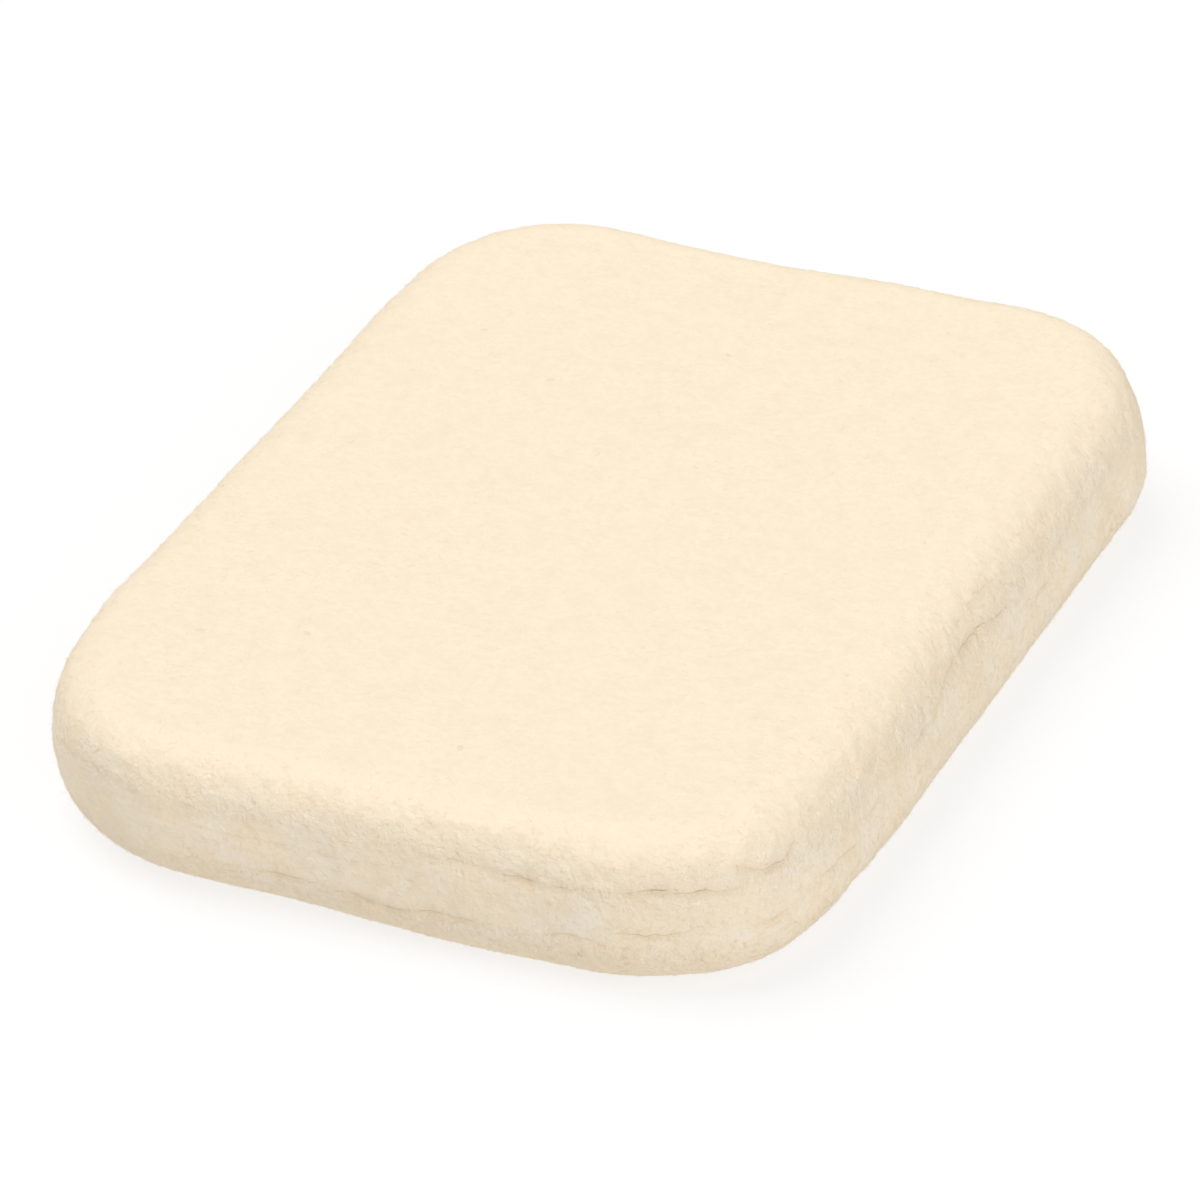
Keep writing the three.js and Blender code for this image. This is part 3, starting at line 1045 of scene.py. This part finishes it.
def floor_material(studio):
    """A white floor that keeps a soft shadow, and that sends back a little less light than it shows."""
    material, tree, _shader = new_material("white_floor")
    tree.nodes.clear()
    matt = result(tree, "ShaderNodeBsdfDiffuse", (-1, 1), {"Color": FLOOR_GREY})
    glow = result(tree, "ShaderNodeEmission", (-1, 2), {"Strength": studio.table_light})
    bounce = result(tree, "ShaderNodeMixShader", (0, 1), {0: FLOOR_GLOW, 1: matt, 2: glow})
    shadowed = result(tree, "ShaderNodeBsdfDiffuse", (0, 2), {"Color": WHITE})
    white = result(tree, "ShaderNodeEmission", (0, 3))
    shown = result(tree, "ShaderNodeMixShader", (1, 2), {0: studio.shadow_share, 1: white, 2: shadowed})
    seen = seen_directly(tree, (0, 0))
    both = result(tree, "ShaderNodeMixShader", (3, 1), {0: seen, 1: bounce, 2: shown})
    add_node(tree, "ShaderNodeOutputMaterial", (4, 1), {"Surface": both})
    return material


def make_world(scene, studio):
    """An even white surround, which the camera sees as white."""
    world = bpy.data.worlds.new("surround")
    world.use_nodes = True
    tree = world.node_tree
    seen = seen_directly(tree, (-5, 0))
    strength = result(
        tree, "ShaderNodeMix", (-1, 0), {0: seen, 2: studio.world_light, 3: 1.0}, data_type="FLOAT")
    feed(tree, tree.nodes["Background"], {"Color": WHITE, "Strength": strength})
    scene.world = world


def make_sun(name, strength, towards):
    """A large soft lamp that shines from a direction."""
    lamp = bpy.data.lights.new(name, "SUN")
    lamp.energy = strength
    lamp.angle = LAMP_SPAN
    made = new_object(name, lamp)
    made.rotation_euler = Vector(towards).to_track_quat("Z", "Y").to_euler()


def make_camera(scene, studio):
    """The camera at the photograph's viewing angle."""
    azimuth, elevation, roll = studio.azimuth, studio.elevation, studio.roll
    middle = Vector((0.0, 0.0, THICKNESS / 2))
    level = Vector((math.cos(azimuth), math.sin(azimuth), 0.0))
    back = Vector((math.sin(azimuth) * math.cos(elevation), -math.cos(azimuth) * math.cos(elevation),
                   math.sin(elevation)))
    steep = back.cross(level)
    right = level * math.cos(roll) + steep * math.sin(roll)
    up = steep * math.cos(roll) - level * math.sin(roll)
    place = middle + back * studio.distance
    sight = (place - (middle + right * studio.aim_right + up * studio.aim_up)).normalized()
    across = up.cross(sight).normalized()
    data = bpy.data.cameras.new("camera")
    data.lens = studio.lens
    data.sensor_width = SENSOR_WIDTH
    camera = new_object("camera", data)
    axes = Matrix((across, sight.cross(across), sight)).transposed()
    camera.matrix_world = Matrix.Translation(place) @ axes.to_4x4()
    scene.camera = camera


# Operators and panel

class MAT_OT_studio(bpy.types.Operator):
    """Set up the floor, the light and the camera"""

    bl_idname = "felting_mat.studio"
    bl_label = "Set Up Studio"

    def execute(self, context):
        scene = context.scene
        studio = scene.mat_studio
        floor = new_object("floor", floor_mesh(FLOOR_HALF))
        floor.data.materials.append(floor_material(studio))
        make_world(scene, studio)
        for name, towards in LAMPS.items():
            make_sun(name, getattr(studio, name + "_light"), towards)
        make_camera(scene, studio)
        scene.view_settings.view_transform = "Standard"
        return {"FINISHED"}


class MAT_OT_plies(bpy.types.Operator):
    """Build the eight plies of wool, each in place of its solid"""

    bl_idname = "felting_mat.plies"
    bl_label = "Build Plies"

    def execute(self, context):
        scene = context.scene
        colours = scene.mat_colours
        wools = {
            FACE_SLOT: wool_material("face_felt_wool", colours.face_wool, colours),
            CORE_SLOT: wool_material("core_batt_wool", colours.core_wool, colours),
        }
        skin = Skin(scene.mat_shape, scene.mat_joints)
        for number, node in enumerate(PLIES):
            ply = new_object(node + "_wool", ply_mesh(skin, number))
            ply.data.materials.append(wools[SLOTS[node]])
            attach(ply, "root")
            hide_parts(node)
        return {"FINISHED"}


class MAT_OT_nap(bpy.types.Operator):
    """Grow the loose fibres on every ply"""

    bl_idname = "felting_mat.nap"
    bl_label = "Grow Nap"

    def execute(self, context):
        scene = context.scene
        nap, colours = scene.mat_nap, scene.mat_colours
        tree = NapTree()
        pale = fibre_material("pale_fibre", colours.pale_fibre)
        tan = fibre_material("tan_fibre", colours.tan_fibre)
        for number, node in enumerate(PLIES):
            nap_piece = tree.grow(node + "_nap", bpy.data.objects[node + "_wool"], {
                "Density": nap.density / MM ** 2, "Length": nap.fibre_length, "Width": nap.fibre_width,
                "Spread": math.pi if SLOTS[node] == FACE_SLOT else CORE_SPREAD, "Curl": nap.curl,
                "Tan share": nap.tan_share, "Seed": nap.seed + number, "Pale": pale, "Tan": tan})
            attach(nap_piece, "root")
        return {"FINISHED"}


class MAT_OT_flecks(bpy.types.Operator):
    """Lay the few flecks of plant matter in the wool of the work face"""

    bl_idname = "felting_mat.flecks"
    bl_label = "Lay Flecks"

    def execute(self, context):
        scene = context.scene
        context.view_layer.update()
        ply = bpy.data.objects[PLIES[-1] + "_wool"]
        places = []
        for x, y in FLECKS:
            hit, place, _way, _face = ply.ray_cast((x * MM, y * MM, 2 * THICKNESS), (0.0, 0.0, -1.0))
            if not hit:
                raise RuntimeError(f"No wool under the fleck at {x}, {y} mm")
            places.append(place)
        mesh = bpy.data.meshes.new("fleck_places")
        mesh.from_pydata(places, [], [])
        marks = new_object("fleck_places", mesh)
        plant = fibre_material("plant_fleck", scene.mat_colours.fleck)
        flecks = FleckTree().grow(PLIES[-1] + "_flecks", marks, {
            "Length": scene.mat_nap.fleck_length, "Plant": plant})
        bpy.data.objects.remove(marks)
        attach(flecks, "root")
        return {"FINISHED"}


class MAT_PT_panel(bpy.types.Panel):
    """The felting mat's tools and sizes"""

    bl_label = "Felting Mat"
    bl_idname = "MAT_PT_panel"
    bl_space_type = "VIEW_3D"
    bl_region_type = "UI"
    bl_category = "Felting Mat"

    def draw(self, context):
        for operator in OPERATORS:
            self.layout.operator(operator.bl_idname)
        for group_name, group in GROUPS.items():
            box = self.layout.box()
            box.label(text=group.__doc__)
            for setting in group.__annotations__:
                box.prop(getattr(context.scene, group_name), setting)


OPERATORS = (MAT_OT_studio, MAT_OT_plies, MAT_OT_nap, MAT_OT_flecks)
CLASSES = (*GROUPS.values(), *OPERATORS, MAT_PT_panel)


def register():
    for made in CLASSES:
        bpy.utils.register_class(made)
    for name, group in GROUPS.items():
        setattr(bpy.types.Scene, name, bpy.props.PointerProperty(type=group))


def unregister():
    for name in GROUPS:
        delattr(bpy.types.Scene, name)
    for made in reversed(CLASSES):
        bpy.utils.unregister_class(made)


def main():
    register()
    bpy.ops.felting_mat.studio()
    bpy.ops.felting_mat.plies()
    bpy.ops.felting_mat.nap()
    bpy.ops.felting_mat.flecks()


if __name__ == "__main__":
    main()
